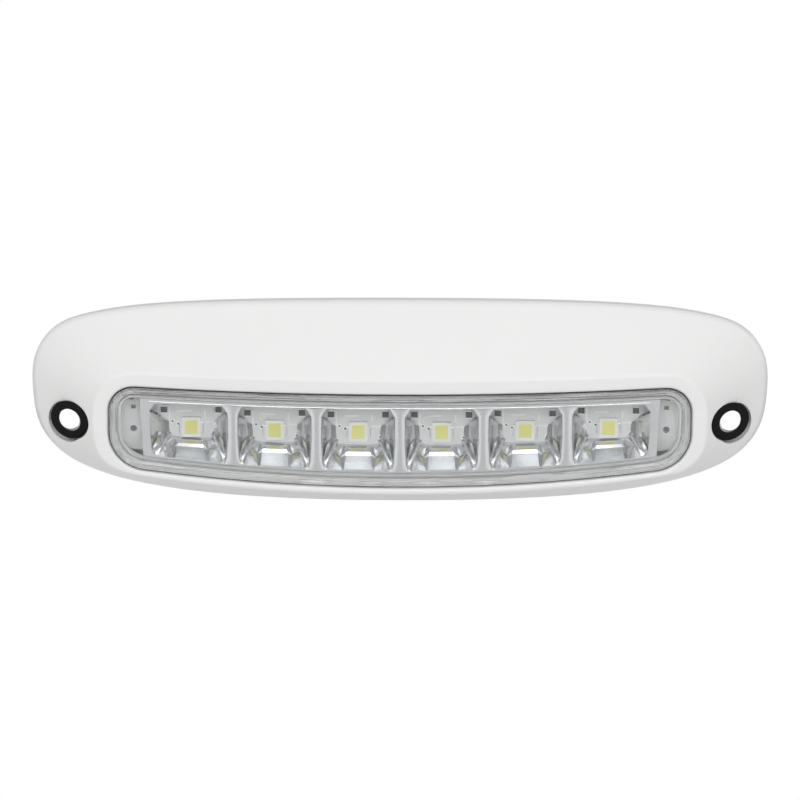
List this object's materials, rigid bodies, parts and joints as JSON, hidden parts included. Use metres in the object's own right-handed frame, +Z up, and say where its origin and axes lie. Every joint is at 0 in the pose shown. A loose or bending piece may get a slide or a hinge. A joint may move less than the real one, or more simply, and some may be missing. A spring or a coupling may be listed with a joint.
{
  "type": "underwater pool light",
  "caption": "Surface-mount pool light: slim white hooded housing, a row of LEDs in faceted reflector cups behind a clear smile-shaped lens, rubber-lined screw holes at its ends.",
  "frame": {"origin": "centre of the back of the light, on the wall plane", "axes": "+Z up, +Y into the wall, -Y the way the light shines, +X along its length to the viewer's right"},
  "size_m": [0.1652, 0.0209, 0.0454],
  "materials": {
    "white_housing": "moulded, satin gloss",
    "clear_lens": "clear, polished",
    "seal_rubber": "matt",
    "bright_reflector": "vacuum-metallised, mirror bright",
    "white_board": "white solder mask",
    "chip_black": "matt black body",
    "capacitor_tan": "matt ceramic",
    "pad_grey": "soft filled silicone",
    "spreader_aluminium": "mill finish",
    "screw_steel": "plain stainless",
    "cover_grey": "moulded, matt",
    "bush_rubber": "matt",
    "gasket_foam": "closed-cell foam sheet",
    "grommet_rubber": "smooth, slightly glossy",
    "package_white": "moulded white",
    "phosphor_yellow": "silicone with phosphor"
  },
  "bodies": {
    "root": {"housing": "white_housing", "lens": "clear_lens", "lens_seal": "seal_rubber", "reflector": "bright_reflector", "circuit_board": "white_board", "resistors": "chip_black", "driver_chip": "chip_black", "protection_diode": "chip_black", "capacitors": "capacitor_tan", "thermal_pad": "pad_grey", "heat_spreader": "spreader_aluminium", "board_screws": "screw_steel", "back_cover": "cover_grey", "back_cover_seal": "seal_rubber", "back_cover_screws": "screw_steel", "cable_bush": "bush_rubber", "wall_gasket": "gasket_foam", "screw_grommet_left": "grommet_rubber", "screw_grommet_right": "grommet_rubber", "led_package_1": "package_white", "led_phosphor_1": "phosphor_yellow", "led_package_2": "package_white", "led_phosphor_2": "phosphor_yellow", "led_package_3": "package_white", "led_phosphor_3": "phosphor_yellow", "led_package_4": "package_white", "led_phosphor_4": "phosphor_yellow", "led_package_5": "package_white", "led_phosphor_5": "phosphor_yellow", "led_package_6": "package_white", "led_phosphor_6": "phosphor_yellow"}
  },
  "joints": []
}
